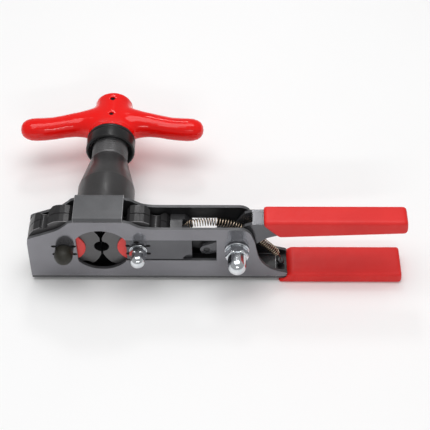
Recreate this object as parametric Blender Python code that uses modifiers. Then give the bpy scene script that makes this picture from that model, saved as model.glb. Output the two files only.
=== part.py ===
"""Turret-die flaring tool: a clamp frame with two die wheels, pliers handles and a screw-fed cone.

X runs along the handles, Y along the feed screw towards the T-handle, and Z is up.
Sizes below are millimetres; the helper functions turn them into metres. While the pieces are built, zero
is where the tube's axis meets the front plate's outer face; move_origin then puts it on the strap's
underside.
"""

from math import atan2, cos, pi, radians, sin, sqrt

import bmesh
import bpy
from mathutils import Vector

MM = 0.001
GAP = 0.3

# The frame: two plates on edge, joined by the back strap below and the bridge on top.
PLATE = 2.6
FRAME_WIDTH = 26.0
REAR_FACE = FRAME_WIDTH - PLATE
STRAP_BOTTOM = -35.4
STRAP_TOP = STRAP_BOTTOM + 3.8
PLATE_BOTTOM = STRAP_TOP + GAP
LOBE_TOP = 33.4
BRIDGE_TOP = LOBE_TOP + GAP + 3.8
BRIDGE_LEFT = -19.6  # the bridge's ends
BRIDGE_RIGHT = 18.8
FRAME_LEFT = -58.4
STRAP_RIGHT = 236.0
TANG_START = 138.6
TANG_BOTTOM = STRAP_BOTTOM + 0.6
SCREW_X = 142.6

# The die wheels: six-sided, with a half bore in each side.
WHEEL_X = 29.2
WHEEL_FLAT = 28.2
WHEEL_CORNER = 29.9
WHEEL_FRONT = 4.2
WHEEL_BACK = 21.8
BORE_RADII = (6.0, 3.0, 4.0, 9.0, 5.0, 7.5)
SEAT_DEPTH = 3.2
DISC_RADIUS = 16.6
PIN_RADIUS = 4.0
WINDOW_RADIUS = 23.3
WINDOW_EDGE = 19.2
SLOT_HALF = 12.4
SLOT_END = 91.0

# The carriage that carries the right-hand wheel.
CARRIAGE_LEFT = 20.0
CARRIAGE_RIGHT = 71.5
CARRIAGE_HALF = 12.1

# The handles and their toggle.
PIVOT = (107.0, 1.5)
CRANK = (83.0, -5.0)
LINK_PIN = (67.0, 0.5)
HANDLE_FRONT = 5.2
HANDLE_BACK = 20.8
CHEEK = 2.6

# The tower and what slides and turns in it.
TOWER_BASE = FRAME_WIDTH + GAP
TOWER_RADIUS = 23.3
CONE_START = 63.9
NECK_START = 93.0
NECK_RADIUS = 15.2
NECK_TOP = 114.0
THREAD_PITCH = 2.0
FEED_STROKE = 13.5
TOWER_BORE = 11.2
SPINDLE_RADIUS = 7.2
SLEEVE_RADIUS = 20.6
SLEEVE_BOTTOM = 107.6
SLEEVE_TOP = 121.4
HUB_RADIUS = 16.3
HUB_TOP = 165.6
SPINDLE_TOP = 161.3
CONE_TIP = 27.0
CONE_RADIUS = 10.0


def clear_scene():
    """Start from an empty scene."""
    for old in list(bpy.data.objects):
        bpy.data.objects.remove(old, do_unlink=True)


def make_collections():
    """One collection for the tool and one, hidden, for the cutters."""
    tool = bpy.data.collections.new("flaring_tool")
    cutters = bpy.data.collections.new("cutters")
    bpy.context.scene.collection.children.link(tool)
    bpy.context.scene.collection.children.link(cutters)
    return tool, cutters


def make_material(name, colour, roughness, metallic):
    """A Principled material."""
    material = bpy.data.materials.new(name)
    material.use_nodes = True
    shader = material.node_tree.nodes["Principled BSDF"]
    shader.inputs["Base Color"].default_value = (*colour, 1.0)
    shader.inputs["Roughness"].default_value = roughness
    shader.inputs["Metallic"].default_value = metallic
    return material


clear_scene()
TOOL, CUTTERS = make_collections()
FINISHES = {
    "plate_grey": ((0.16, 0.16, 0.17), 0.3, 0.6),
    "housing_black": ((0.035, 0.035, 0.035), 0.35, 0.5),
    "die_steel": ((0.12, 0.12, 0.125), 0.4, 0.8),
    "zinc": ((0.75, 0.77, 0.78), 0.2, 1.0),
    "tool_steel": ((0.55, 0.55, 0.56), 0.25, 1.0),
    "spring_steel": ((0.3, 0.25, 0.2), 0.35, 1.0),
    "red_paint": ((0.75, 0.02, 0.015), 0.2, 0.0),
    "red_grip": ((0.72, 0.06, 0.05), 0.5, 0.0),
    "red_disc": ((0.8, 0.08, 0.06), 0.45, 0.0),
    "dark_knob": ((0.03, 0.03, 0.025), 0.3, 0.3),
}


def add_object(name, data, finish, parent=None, collection=None):
    """Link a new object, give it its finish and, if asked, its parent."""
    thing = bpy.data.objects.new(name, data)
    (collection or TOOL).objects.link(thing)
    if finish:
        thing.data.materials.clear()
        thing.data.materials.append(make_material(name, *FINISHES[finish]))
    if parent:
        thing.parent = parent
    return thing


def add_axis(name, x, y, z):
    """An empty on a joint's axis, which the pieces of one moving body are parented to."""
    axis = bpy.data.objects.new(name, None)
    TOOL.objects.link(axis)
    axis.location = Vector((x, y, z)) * MM
    return axis


def put(thing, x, y, z):
    """Place an object by its world position in millimetres, whatever its parent."""
    target = Vector((x, y, z)) * MM
    thing.location = target - thing.parent.location if thing.parent else target
    return thing


def arc(x, z, radius, start, end, steps):
    """Points along an arc, from one angle to another in degrees."""
    angles = [radians(start + (end - start) * i / steps) for i in range(steps + 1)]
    return [(x + radius * cos(a), z + radius * sin(a)) for a in angles]


def circle(x, z, radius, steps=32):
    """A closed ring of points."""
    return arc(x, z, radius, 0, 360 - 360 / steps, steps - 1)


def mesh_from(curve, name):
    """Turn a curve's data into a closed, welded mesh."""
    carrier = bpy.data.objects.new("carrier", curve)
    CUTTERS.objects.link(carrier)
    graph = bpy.context.evaluated_depsgraph_get()
    mesh = bpy.data.meshes.new_from_object(carrier.evaluated_get(graph))
    bpy.data.objects.remove(carrier)
    shape = bmesh.new()
    shape.from_mesh(mesh)
    bmesh.ops.remove_doubles(shape, verts=shape.verts, dist=0.002 * MM)
    bmesh.ops.recalc_face_normals(shape, faces=shape.faces)
    shape.to_mesh(mesh)
    shape.free()
    mesh.name = name
    return mesh


def flat_mesh(name, loops, thickness):
    """A flat outline in X and Z, holes allowed, centred on its thickness along Y."""
    curve = bpy.data.curves.new(name, "CURVE")
    curve.dimensions = "2D"
    curve.fill_mode = "BOTH"
    curve.extrude = thickness * MM / 2
    for loop in loops:
        line = curve.splines.new("POLY")
        line.points.add(len(loop) - 1)
        for point, (x, z) in zip(line.points, loop):
            point.co = (x * MM, z * MM, 0, 1)
        line.use_cyclic_u = True
    mesh = mesh_from(curve, name)
    for vertex in mesh.vertices:
        x, z, y = vertex.co
        vertex.co = (x, -y, z)
    return mesh


def plate(name, loops, low, high, finish, parent=None, centre=(0.0, 0.0), edge=0.0, collection=None):
    """A flat piece between two Y positions, its outline given in world X and Z."""
    moved = [[(x - centre[0], z - centre[1]) for x, z in loop] for loop in loops]
    piece = add_object(name, flat_mesh(name, moved, high - low), finish, parent, collection)
    put(piece, centre[0], (low + high) / 2, centre[1])
    if edge:
        add_bevel(piece, edge)
    return piece


def add_bevel(piece, width, segments=1):
    """Break a piece's sharp edges."""
    bevel = piece.modifiers.new("broken_edges", "BEVEL")
    bevel.width = width * MM
    bevel.segments = segments
    bevel.limit_method = "ANGLE"
    bevel.angle_limit = radians(50)


def turned(name, profile, finish, x, z, parent=None, steps=32, collection=None):
    """A turned piece about an axis along Y: its profile is (radius, Y), run from high Y to low Y."""
    mesh = bpy.data.meshes.new(name)
    points = [(radius * MM, 0, y * MM) for radius, y in profile]
    closed = profile[0][0] > 0 and profile[-1][0] > 0
    count = len(points)
    edges = [(i, i + 1) for i in range(count - 1)]
    if closed:
        edges.append((count - 1, 0))
    mesh.from_pydata(points, edges, [])
    piece = add_object(name, mesh, finish, parent, collection)
    put(piece, x, 0, z)
    piece.rotation_euler = (-pi / 2, 0, 0)
    spin = piece.modifiers.new("turning", "SCREW")
    spin.steps = steps
    spin.render_steps = steps
    spin.use_merge_vertices = True
    spin.merge_threshold = 0.00001
    return piece


def apply_modifiers(piece):
    """Fix a piece's modifiers into its mesh."""
    graph = bpy.context.evaluated_depsgraph_get()
    finished = bpy.data.meshes.new_from_object(piece.evaluated_get(graph))
    piece.modifiers.clear()
    piece.data = finished


def combine(piece, other, operation):
    """Cut a piece with another, or join another to it; the other goes to the cutters."""
    for home in list(other.users_collection):
        home.objects.unlink(other)
    CUTTERS.objects.link(other)
    other.hide_render = True
    other.display_type = "WIRE"
    step = piece.modifiers.new(operation.lower(), "BOOLEAN")
    step.operation = operation
    step.solver = "EXACT"
    step.object = other


def round_cutter(name, x, z, radius, low, high, steps=32):
    """A cylinder along Y, for cutting."""
    profile = [(0, high), (radius, high), (radius, low), (0, low)]
    return turned(name, profile, None, x, z, steps=steps, collection=CUTTERS)


def wire(name, points, thickness, finish, parent=None, sides=2):
    """A tube along a list of points (x, y, z, radius factor), with filled ends."""
    curve = bpy.data.curves.new(name, "CURVE")
    curve.dimensions = "3D"
    curve.bevel_depth = thickness * MM
    curve.bevel_resolution = sides
    curve.use_fill_caps = True
    line = curve.splines.new("POLY")
    line.points.add(len(points) - 1)
    for point, (x, y, z, factor) in zip(line.points, points):
        point.co = (x * MM, y * MM, z * MM, 1)
        point.radius = factor
    return add_object(name, curve, finish, parent)


# ---------------------------------------------------------------- frame


def plate_outline():
    """The side plates' outline: a lobe over the wheels, a straight neck and a tail along the strap."""
    left = [(-57.3, 10.0), (-55.6, 13.6), (-45.8, 17.8), (-33.6, 23.2), (-27.2, 28.2)]
    left.append((-23.2, LOBE_TOP - 1.2))
    right = [(24.2, LOBE_TOP - 1.6), (28.2, 28.9), (33.0, 26.4), (40.0, 25.1)]
    corner = arc(108.6, 14.8, 10.1, 90, 18, 8)
    hollow = [(120.8, 9.6), (122.0, 2.2), (124.3, -8.2), (127.7, -15.6), (133.2, -21.8), (139.8, -25.6)]
    tail = [(146.2, -27.3), (147.8, -28.6), (145.9, PLATE_BOTTOM)]
    outline = [(FRAME_LEFT, PLATE_BOTTOM)] + left + [(BRIDGE_LEFT, LOBE_TOP), (BRIDGE_RIGHT, LOBE_TOP)]
    return outline + right + corner + hollow + tail


def window_outline():
    """The round window that opens into the carriage's slot."""
    lip = sqrt(WINDOW_RADIUS**2 - WINDOW_EDGE**2)
    turn = 180 - atan2(lip, WINDOW_EDGE) * 180 / pi
    upper = arc(0, 0, WINDOW_RADIUS, 180 - turn, turn, 16)
    lower = arc(0, 0, WINDOW_RADIUS, 360 - turn, 180 + turn, 16)
    slot = [(WINDOW_EDGE, -SLOT_HALF), (SLOT_END, -SLOT_HALF)]
    slot += [(SLOT_END, SLOT_HALF), (WINDOW_EDGE, SLOT_HALF)]
    return upper + lower + slot


def make_frame():
    """The plates, the strap, the bridge and the fixed grip."""
    pin_hole = circle(-WHEEL_X, 0, PIN_RADIUS + 0.1, 24)
    bolt_hole = circle(*PIVOT, 5.1, 24)
    front_loops = [plate_outline(), window_outline(), pin_hole, bolt_hole]
    plate("front_plate", front_loops, 0, PLATE, "plate_grey", edge=0.35)
    lobe = circle(0, 0, 13.0, 30)
    slot = [(21.0, -SLOT_HALF), (SLOT_END, -SLOT_HALF), (SLOT_END, SLOT_HALF), (21.0, SLOT_HALF)]
    rear_loops = [plate_outline(), lobe, slot, pin_hole, bolt_hole]
    plate("rear_plate", rear_loops, REAR_FACE, FRAME_WIDTH, "plate_grey", edge=0.3)
    strap = [(FRAME_LEFT, STRAP_BOTTOM), (TANG_START, STRAP_BOTTOM), (TANG_START + 0.8, TANG_BOTTOM)]
    strap += [(STRAP_RIGHT, TANG_BOTTOM), (STRAP_RIGHT, STRAP_TOP), (FRAME_LEFT, STRAP_TOP)]
    back_strap = plate("back_strap", [strap], 0, FRAME_WIDTH, "plate_grey", edge=0.8)
    hole = [(0, 2), (2.2, 2), (2.2, -8), (0, -8)]
    drill = turned("strap_hole", hole, None, 0, 0, steps=20, collection=CUTTERS)
    drill.rotation_euler = (0, 0, 0)
    put(drill, SCREW_X, FRAME_WIDTH / 2, STRAP_TOP)
    combine(back_strap, drill, "DIFFERENCE")
    bridge = [(BRIDGE_LEFT, LOBE_TOP + GAP), (BRIDGE_RIGHT, LOBE_TOP + GAP)]
    bridge += [(BRIDGE_RIGHT, BRIDGE_TOP), (BRIDGE_LEFT, BRIDGE_TOP)]
    plate("top_bridge", [bridge], 0, FRAME_WIDTH, "plate_grey", edge=0.8)


def make_fixed_grip():
    """The dipped sleeve on the strap's free end, closed at its right-hand end."""
    body = [(140.2, -38.0), (238.4, -38.0), (240.4, -36.4), (239.6, -27.4), (151.6, -27.4), (149.4, -28.6)]
    grip = plate("fixed_grip", [body], -2.0, 28.0, "red_grip", edge=1.1)
    pocket = [(130.0, TANG_BOTTOM - GAP), (STRAP_RIGHT + GAP, TANG_BOTTOM - GAP)]
    pocket += [(STRAP_RIGHT + GAP, STRAP_TOP + GAP), (130.0, STRAP_TOP + GAP)]
    cavity = plate("grip_cavity", [pocket], -GAP, FRAME_WIDTH + GAP, None, collection=CUTTERS)
    apply_modifiers(grip)
    combine(grip, cavity, "DIFFERENCE")


def acorn_profile(face, barrel, dome, centre):
    """Half outline of a domed nut that stands out from a face, towards lower Y."""
    neck = [(0, face), (barrel, face), (barrel, face - 0.8), (dome, face - 2.2)]
    cap = [(dome * cos(radians(a)), centre - dome * sin(radians(a))) for a in range(0, 90, 15)]
    return neck + cap + [(0, centre - dome)]


def make_domed_nut(name, x, z, face, across, height, dome, centre, bore, depth, parent=None):
    """A domed hexagon nut on a face, with a blind hole for its pin's end."""
    nut = turned(name, acorn_profile(face, dome + 0.6, dome, centre), "zinc", x, z, parent, steps=32)
    hexagon = circle(x, z, across, 6)
    prism = plate(name + "_hexagon", [hexagon], face - height, face - 0.1, None, collection=CUTTERS)
    add_bevel(prism, 0.7)
    combine(nut, prism, "UNION")
    hole = round_cutter(name + "_hole", x, z, bore, face - depth, face + 2.0, steps=20)
    combine(nut, hole, "DIFFERENCE")
    return nut


def make_left_pivot():
    """The pin of the left-hand wheel and its dark knob."""
    head = FRAME_WIDTH + GAP + 2.0
    rivet = [(0, head), (4.6, head), (5.4, head - 0.8), (5.4, FRAME_WIDTH + GAP)]
    rivet += [(PIN_RADIUS - 0.1, FRAME_WIDTH + GAP), (PIN_RADIUS - 0.1, -6.0), (0, -6.0)]
    turned("left_pivot_pin", rivet, "tool_steel", -WHEEL_X, 0, steps=24)
    socket = [(0, -6.3), (PIN_RADIUS + 0.2, -6.3), (PIN_RADIUS + 0.2, -GAP)]
    side = [(6.9, -GAP), (7.3, -0.8), (7.3, -5.6)]
    dome = [(7.3 * cos(radians(a)), -5.6 - 7.6 * sin(radians(a))) for a in range(15, 90, 15)]
    turned("left_pivot_knob", socket + side + dome + [(0, -13.2)], "dark_knob", -WHEEL_X, 0, steps=32)


def make_handle_pivot():
    """The bolt that the moving handle swings on, its washer and its domed nut."""
    x, z = PIVOT
    shank = 5.0
    low = -8.0
    profile = [(0, 31.0), (7.0, 31.0), (7.6, 30.4), (7.6, FRAME_WIDTH + GAP), (shank, FRAME_WIDTH + GAP)]
    turned("handle_pivot_bolt", profile + [(shank, low), (0, low)], "zinc", x, z, steps=24)
    washer = [(9.6, -GAP), (9.6, -1.9), (5.3, -1.9), (5.3, -GAP)]
    turned("pivot_washer", washer, "zinc", x, z, steps=32)
    make_domed_nut("pivot_domed_nut", x, z, -2.2, 9.3, 6.6, 7.3, -16.4, 5.3, 7.0)


# ---------------------------------------------------------------- die wheels


def wheel_outline():
    """A hexagon with its corners turned off, one flat square to X."""
    reach = sqrt(WHEEL_CORNER**2 - WHEEL_FLAT**2)
    half = atan2(reach, WHEEL_FLAT) * 180 / pi
    points = []
    for side in range(6):
        points += arc(0, 0, WHEEL_CORNER, side * 60 + half, side * 60 + 60 - half, 3)
    return points


def make_wheel_mesh():
    """A die wheel about its own axis: six half bores, each with a flare seat, and a grooved rim."""
    loops = [wheel_outline(), circle(0, 0, PIN_RADIUS + 0.2, 24)]
    wheel = plate("wheel_blank", loops, WHEEL_FRONT, WHEEL_BACK, None, edge=0.5, collection=CUTTERS)
    apply_modifiers(wheel)
    for index, radius in enumerate(BORE_RADII):
        x = WHEEL_X * cos(pi / 3 * index)
        z = WHEEL_X * sin(pi / 3 * index)
        top = WHEEL_BACK + 1.0
        seat = radius + SEAT_DEPTH + 1.0
        bottom = WHEEL_FRONT - 1.0
        profile = [(0, top), (seat, top), (radius, WHEEL_BACK - SEAT_DEPTH), (radius, bottom), (0, bottom)]
        cutter = turned(f"wheel_bore_{index}", profile, None, x, z, steps=27, collection=CUTTERS)
        combine(wheel, cutter, "DIFFERENCE")
    middle = (WHEEL_FRONT + WHEEL_BACK) / 2
    rim = circle(0, 0, WHEEL_CORNER + 4, 24)
    inner = [(x * 0.972, z * 0.972) for x, z in wheel_outline()]
    groove = plate("wheel_groove", [rim, inner], middle - 0.45, middle + 0.45, None, collection=CUTTERS)
    combine(wheel, groove, "DIFFERENCE")
    apply_modifiers(wheel)
    return wheel.data


def make_wheels():
    """The two die wheels, alike but turned to face each other, each with its red size disc."""
    blank = make_wheel_mesh()
    middle = (WHEEL_FRONT + WHEEL_BACK) / 2
    disc_front = PLATE + GAP
    disc_back = WHEEL_FRONT - GAP
    hole = PIN_RADIUS + 0.3
    ring = [(DISC_RADIUS, disc_back), (DISC_RADIUS, disc_front), (hole, disc_front), (hole, disc_back)]
    for side, x, turn in (("left", -WHEEL_X, 0.0), ("right", WHEEL_X, pi)):
        axis = add_axis(side + "_wheel_axis", x, 0, 0)
        wheel = add_object("die_wheel_" + side, blank.copy(), "die_steel", axis)
        put(wheel, x, middle, 0)
        wheel.rotation_euler = (0, turn, 0)
        turned("size_disc_" + side, ring, "red_disc", x, 0, axis, 40)


# ---------------------------------------------------------------- carriage


def make_carriage(axis):
    """The sliding fork that carries the right-hand wheel, with its pins and its domed nut."""
    left, right, half = CARRIAGE_LEFT, CARRIAGE_RIGHT, CARRIAGE_HALF
    hole = circle(WHEEL_X, 0, PIN_RADIUS + 0.1, 24)
    cheek = [(left, -half), (64.4, -half), (64.4, -9.6), (66.6, -6.8), (right, -4.6)]
    cheek += [(right, half), (left, half)]
    rear = [(22.8, -half), (right, -half), (right, half), (22.8, half)]
    block_edge = arc(WHEEL_X, 0, WHEEL_CORNER + 0.5, -34, 34, 10)
    block = block_edge + [(54.6, 17.6), (66.0, 17.6), (right, 12.0)]
    block += [(right, -12.0), (66.0, -17.6), (54.6, -17.6)]
    carriage = plate("carriage", [cheek, hole], 0.8, PLATE - 0.05, "plate_grey", axis, (WHEEL_X, 0))
    body = plate("carriage_block", [block], PLATE + GAP, REAR_FACE - GAP, None, collection=CUTTERS)
    neck_outline = [(60.6, -3.6), (right - 0.4, -3.6), (right - 0.4, 11.0), (60.6, 11.0)]
    neck = plate("carriage_neck", [neck_outline], PLATE - 1.0, REAR_FACE + 1.0, None, collection=CUTTERS)
    back = plate("carriage_back", [rear, hole], REAR_FACE + 0.05, FRAME_WIDTH - 0.1, None, collection=CUTTERS)
    combine(carriage, body, "UNION")
    combine(carriage, neck, "UNION")
    combine(carriage, back, "UNION")
    fork = [(61.0, -13.0), (80.0, -13.0), (80.0, 7.6), (61.0, 7.6)]
    fork_gap = plate("fork_gap", [fork], 8.6, 17.4, None, collection=CUTTERS)
    combine(carriage, fork_gap, "DIFFERENCE")
    pin_hole = round_cutter("link_pin_hole", LINK_PIN[0], LINK_PIN[1], 2.6, 5.0, 21.0, 20)
    combine(carriage, pin_hole, "DIFFERENCE")
    spring_slot = [(64.0, 12.4), (80.0, 12.4), (80.0, 30.0), (64.0, 30.0)]
    slot = plate("spring_slot", [spring_slot], 8.6, 17.4, None, collection=CUTTERS)
    combine(carriage, slot, "DIFFERENCE")


def make_carriage_pins(axis):
    """The wheel's pin, its domed nut and washer, and the pin that the toggle link pushes on."""
    head = FRAME_WIDTH - 0.2
    shank = PIN_RADIUS - 0.1
    profile = [(0, head), (shank, head), (shank, -6.0), (0, -6.0)]
    turned("right_pivot_pin", profile, "tool_steel", WHEEL_X, 0, axis, steps=24)
    washer = [(7.0, 0.5), (7.0, -0.9), (PIN_RADIUS + 0.2, -0.9), (PIN_RADIUS + 0.2, 0.5)]
    turned("right_pivot_washer", washer, "zinc", WHEEL_X, 0, axis, steps=28)
    make_domed_nut("right_domed_nut", WHEEL_X, 0, -1.2, 6.9, 5.4, 6.2, -10.2, PIN_RADIUS + 0.2, 5.4, axis)
    x, z = LINK_PIN[0], LINK_PIN[1]
    turned("toggle_pin", [(0, 20.8), (2.3, 20.8), (2.3, 5.2), (0, 5.2)], "tool_steel", x, z, axis, steps=20)


# ---------------------------------------------------------------- moving handle


def handle_outline():
    """A cheek of the moving handle: the crank, the hub and the bar."""
    crank_end = arc(*CRANK, 5.2, 105, 285, 9)
    hub_low = arc(*PIVOT, 9.4, 235, 300, 5)
    bar_low = [(118.0, -2.6), (124.0, 4.0), (131.0, 9.6), (140.0, 12.8), (232.0, 17.6)]
    bar_high = [(232.0, 25.6), (118.5, 25.6), (113.0, 23.4), (109.6, 18.0), (106.0, 11.0)]
    return crank_end + hub_low + bar_low + bar_high


def make_handle(axis):
    """The moving handle, a channel of two cheeks and a web, with its grip, pin and bush."""
    hole = circle(*PIVOT, 6.7, 24)
    crank_hole = circle(*CRANK, 2.6, 20)
    loops = [handle_outline(), hole, crank_hole]
    handle = plate("moving_handle", loops, HANDLE_FRONT, HANDLE_FRONT + CHEEK, "plate_grey", axis, PIVOT)
    back = plate("handle_cheek", loops, HANDLE_BACK - CHEEK, HANDLE_BACK, None, collection=CUTTERS)
    web = [(119.0, 22.6), (231.8, 22.6), (231.8, 25.5), (119.0, 25.5)]
    top = plate("handle_web", [web], HANDLE_FRONT + 0.6, HANDLE_BACK - 0.6, None, collection=CUTTERS)
    combine(handle, back, "UNION")
    combine(handle, top, "UNION")
    body = [(127.4, 29.0), (127.4, 23.2), (139.8, 10.4), (238.2, 15.4), (240.2, 17.2)]
    body += [(239.2, 27.2), (237.4, 29.0)]
    grip = plate("moving_grip", [body], 3.6, 22.4, "red_grip", axis, PIVOT, edge=1.6)
    apply_modifiers(grip)
    inside = [(120.0, 25.9), (232.3, 25.9), (232.3, 17.3), (140.0, 12.45), (131.0, 9.2), (120.0, 0.0)]
    low, high = HANDLE_FRONT - GAP, HANDLE_BACK + GAP
    pocket = plate("moving_grip_cavity", [inside], low, high, None, collection=CUTTERS)
    combine(grip, pocket, "DIFFERENCE")
    x, z = CRANK
    turned("crank_pin", [(0, 20.8), (2.3, 20.8), (2.3, 5.2), (0, 5.2)], "tool_steel", x, z, axis, steps=20)
    bush = [(6.4, 20.6), (6.4, 5.4), (5.3, 5.4), (5.3, 20.6)]
    turned("pivot_bush", bush, "tool_steel", *PIVOT, axis, steps=24)


def make_link(axis):
    """The toggle link: it turns on the crank pin and has clearance on the carriage's pin."""
    far = LINK_PIN
    lean = atan2(far[1] - CRANK[1], far[0] - CRANK[0]) * 180 / pi
    outline = arc(*far, 5.4, lean - 90, lean + 90, 10) + arc(*CRANK, 5.0, lean + 90, lean + 270, 10)
    eye = circle(*far, 3.5, 20)
    hole = circle(*CRANK, 2.5, 20)
    plate("toggle_link", [outline, eye, hole], 9.4, 16.6, "tool_steel", axis, CRANK, edge=0.4)


def make_return_spring():
    """A long tension spring from the carriage, over the pivot, to a screw on the strap."""
    path = [(66.5, 16.5), (74.0, 18.6), (84.0, 19.8), (94.0, 19.2), (104.0, 16.4), (112.8, 10.8)]
    path += [(120.4, 2.4), (126.8, -5.6), (133.0, -14.0), (138.6, -22.0)]
    lengths = [0.0]
    for (x0, z0), (x1, z1) in zip(path, path[1:]):
        lengths.append(lengths[-1] + sqrt((x1 - x0) ** 2 + (z1 - z0) ** 2))
    turns = 46
    steps = turns * 8
    points = []
    for step in range(steps + 1):
        along = lengths[-1] * step / steps
        span = max(i for i in range(len(path) - 1) if lengths[i] <= along + 1e-9)
        part = (along - lengths[span]) / (lengths[span + 1] - lengths[span])
        (x0, z0), (x1, z1) = path[span], path[span + 1]
        x, z = x0 + (x1 - x0) * part, z0 + (z1 - z0) * part
        heading = atan2(z1 - z0, x1 - x0)
        angle = 2 * pi * turns * step / steps
        across, side = 2.9 * cos(angle), 2.9 * sin(angle)
        points.append((x - across * sin(heading), 13.0 + side, z + across * cos(heading), 1.0))
    wire("return_spring", points, 0.5, "spring_steel", sides=0)
    head = [(0, 5.4), (2.4, 5.4), (3.2, 4.4), (3.2, 2.6), (1.9, 2.6), (1.9, -3.0), (0, -3.0)]
    screw = turned("spring_screw", head, "zinc", 0, 0, steps=20)
    screw.rotation_euler = (0, 0, 0)
    put(screw, SCREW_X, FRAME_WIDTH / 2, STRAP_TOP)


# ---------------------------------------------------------------- tower and feed


def make_tower():
    """The housing on the rear plate, with its threaded neck."""
    outside = [(TOWER_BORE - 3.6, NECK_TOP), (NECK_RADIUS - 0.8, NECK_TOP)]
    ridges = int((NECK_TOP - NECK_START - 3.0) / THREAD_PITCH)
    for ridge in range(ridges):
        y = NECK_TOP - 0.6 - ridge * THREAD_PITCH
        outside += [(NECK_RADIUS, y), (NECK_RADIUS - 0.7, y - THREAD_PITCH / 2)]
    low = TOWER_BASE - PLATE - GAP + 0.4
    outside += [(NECK_RADIUS, NECK_START + 1.0), (NECK_RADIUS + 0.8, NECK_START)]
    outside += [(TOWER_RADIUS - 0.4, CONE_START + 0.8), (TOWER_RADIUS, CONE_START - 0.6)]
    outside += [(TOWER_RADIUS, TOWER_BASE + 0.8), (TOWER_RADIUS - 0.8, TOWER_BASE)]
    outside += [(12.7, TOWER_BASE), (12.7, low), (TOWER_BORE, low)]
    outside += [(TOWER_BORE, 96.0), (TOWER_BORE - 3.6, 96.0)]
    turned("tower_housing", outside, "housing_black", 0, 0, steps=40)


def make_feed(turning, sliding, spinning):
    """The sleeve and spindle turn, the collar and clip only slide, and the cone spins free."""
    bottom = SLEEVE_BOTTOM
    inner = NECK_RADIUS + 0.3
    sleeve = [(inner, SLEEVE_TOP + 1.0), (SLEEVE_RADIUS - 0.6, SLEEVE_TOP + 1.0)]
    sleeve.append((SLEEVE_RADIUS, SLEEVE_TOP))
    sleeve += [(SLEEVE_RADIUS, bottom + 1.0), (SLEEVE_RADIUS - 1.0, bottom), (SLEEVE_RADIUS - 1.8, bottom)]
    sleeve += [(inner + 0.9, bottom + 2.0), (inner, bottom + 4.4)]
    turned("feed_sleeve", sleeve, "housing_black", 0, 0, turning, steps=40)
    base = CONE_TIP + CONE_RADIUS
    foot = base + 5.9
    flange = base + 19.1
    core = SPINDLE_RADIUS
    spindle = [(0, SPINDLE_TOP), (core, SPINDLE_TOP), (core, flange + 4.0), (9.6, flange + 4.0)]
    spindle.append((9.6, flange))
    spindle += [(core, flange), (core, foot), (4.4, foot), (4.4, base + 17.5), (0, base + 17.5)]
    turned("spindle", spindle, "tool_steel", 0, 0, turning, steps=28)
    bore = core + GAP
    collar = [(10.9, flange - 0.4), (10.9, foot + 3.0), (bore, foot + 3.0), (bore, flange - 0.4)]
    turned("thrust_collar", collar, "tool_steel", 0, 0, sliding, steps=32)
    clip = [(10.2, foot + 2.6), (10.2, foot + 1.4), (bore, foot + 1.4), (bore, foot + 2.6)]
    turned("retaining_clip", clip, "spring_steel", 0, 0, sliding, steps=28)
    cone = [(0, base + 16.9), (4.0, base + 16.9), (4.0, base + 4.4), (8.6, base + 4.4)]
    cone.append((CONE_RADIUS, base + 3.2))
    cone += [(CONE_RADIUS, base), (0.5, CONE_TIP + 0.3), (0, CONE_TIP + 0.1)]
    turned("flaring_cone", cone, "tool_steel", 0, 0, spinning, steps=40)
    washer = [(8.4, base + 5.6), (8.4, base + 4.7), (4.3, base + 4.7), (4.3, base + 5.6)]
    turned("cone_washer", washer, "zinc", 0, 0, spinning, steps=28)


def make_t_handle(turning):
    """The painted T-handle and the two pins that hold it to the spindle."""
    base = SLEEVE_TOP + 1.0 + GAP
    hub = [(0, HUB_TOP), (HUB_RADIUS - 2.2, HUB_TOP), (HUB_RADIUS - 0.6, HUB_TOP - 0.7)]
    hub += [(HUB_RADIUS, HUB_TOP - 2.4), (HUB_RADIUS, 133.4), (HUB_RADIUS + 1.0, 128.4)]
    hub += [(SLEEVE_RADIUS, base + 1.4), (SLEEVE_RADIUS - 0.4, base)]
    handle = turned("t_handle", hub + [(0, base)], "red_paint", 0, 0, turning, steps=40)
    right = [(0, 142.0, 15.0), (17, 142.0, 14.4), (22, 141.8, 13.0), (27, 141.3, 11.6), (34, 140.4, 10.4)]
    right += [(42, 138.6, 9.8), (50, 136.6, 9.7), (58, 135.5, 9.9), (65, 135.1, 10.0), (70, 135.0, 9.6)]
    right += [(74, 135.0, 8.3), (76.8, 135.0, 6.3), (78.3, 135.0, 3.6), (78.9, 135.0, 0.6)]
    points = [(-x, y, 0, r) for x, y, r in right[:0:-1]] + [(x, y, 0, r) for x, y, r in right]
    bar = wire("t_bar", points, 1.0, None, sides=6)
    solid = add_object("t_bar_solid", mesh_from(bar.data, "t_bar_solid"), None, None, CUTTERS)
    bpy.data.objects.remove(bar)
    combine(handle, solid, "UNION")
    bore = SPINDLE_RADIUS + 0.25
    socket = round_cutter("spindle_socket", 0, 0, bore, base - 4.0, SPINDLE_TOP + GAP, steps=28)
    combine(handle, socket, "DIFFERENCE")
    inner, depth = NECK_RADIUS + 0.4, NECK_TOP + FEED_STROKE + 0.9
    cavity = round_cutter("neck_cavity", 0, 0, inner, base - 3.0, depth, steps=40)
    combine(handle, cavity, "DIFFERENCE")
    for name, y, radius in (("hub_pin_upper", 157.4, 2.2), ("hub_pin_lower", 138.8, 1.9)):
        hole = [(0, 30), (radius, 30), (radius, 7.0), (0, 7.0)]
        drill = turned(name + "_hole", hole, None, 0, 0, steps=16, collection=CUTTERS)
        drill.rotation_euler = (0, 0, 0)
        put(drill, 0, y, 0)
        combine(handle, drill, "DIFFERENCE")
        shank = [(0, 15.2), (radius - 0.5, 15.2), (radius - 0.2, 14.9), (radius - 0.2, 7.6), (0, 7.6)]
        pin = turned(name, shank, "spring_steel", 0, 0, turning, steps=16)
        pin.rotation_euler = (0, 0, 0)
        put(pin, 0, y, 0)


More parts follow.
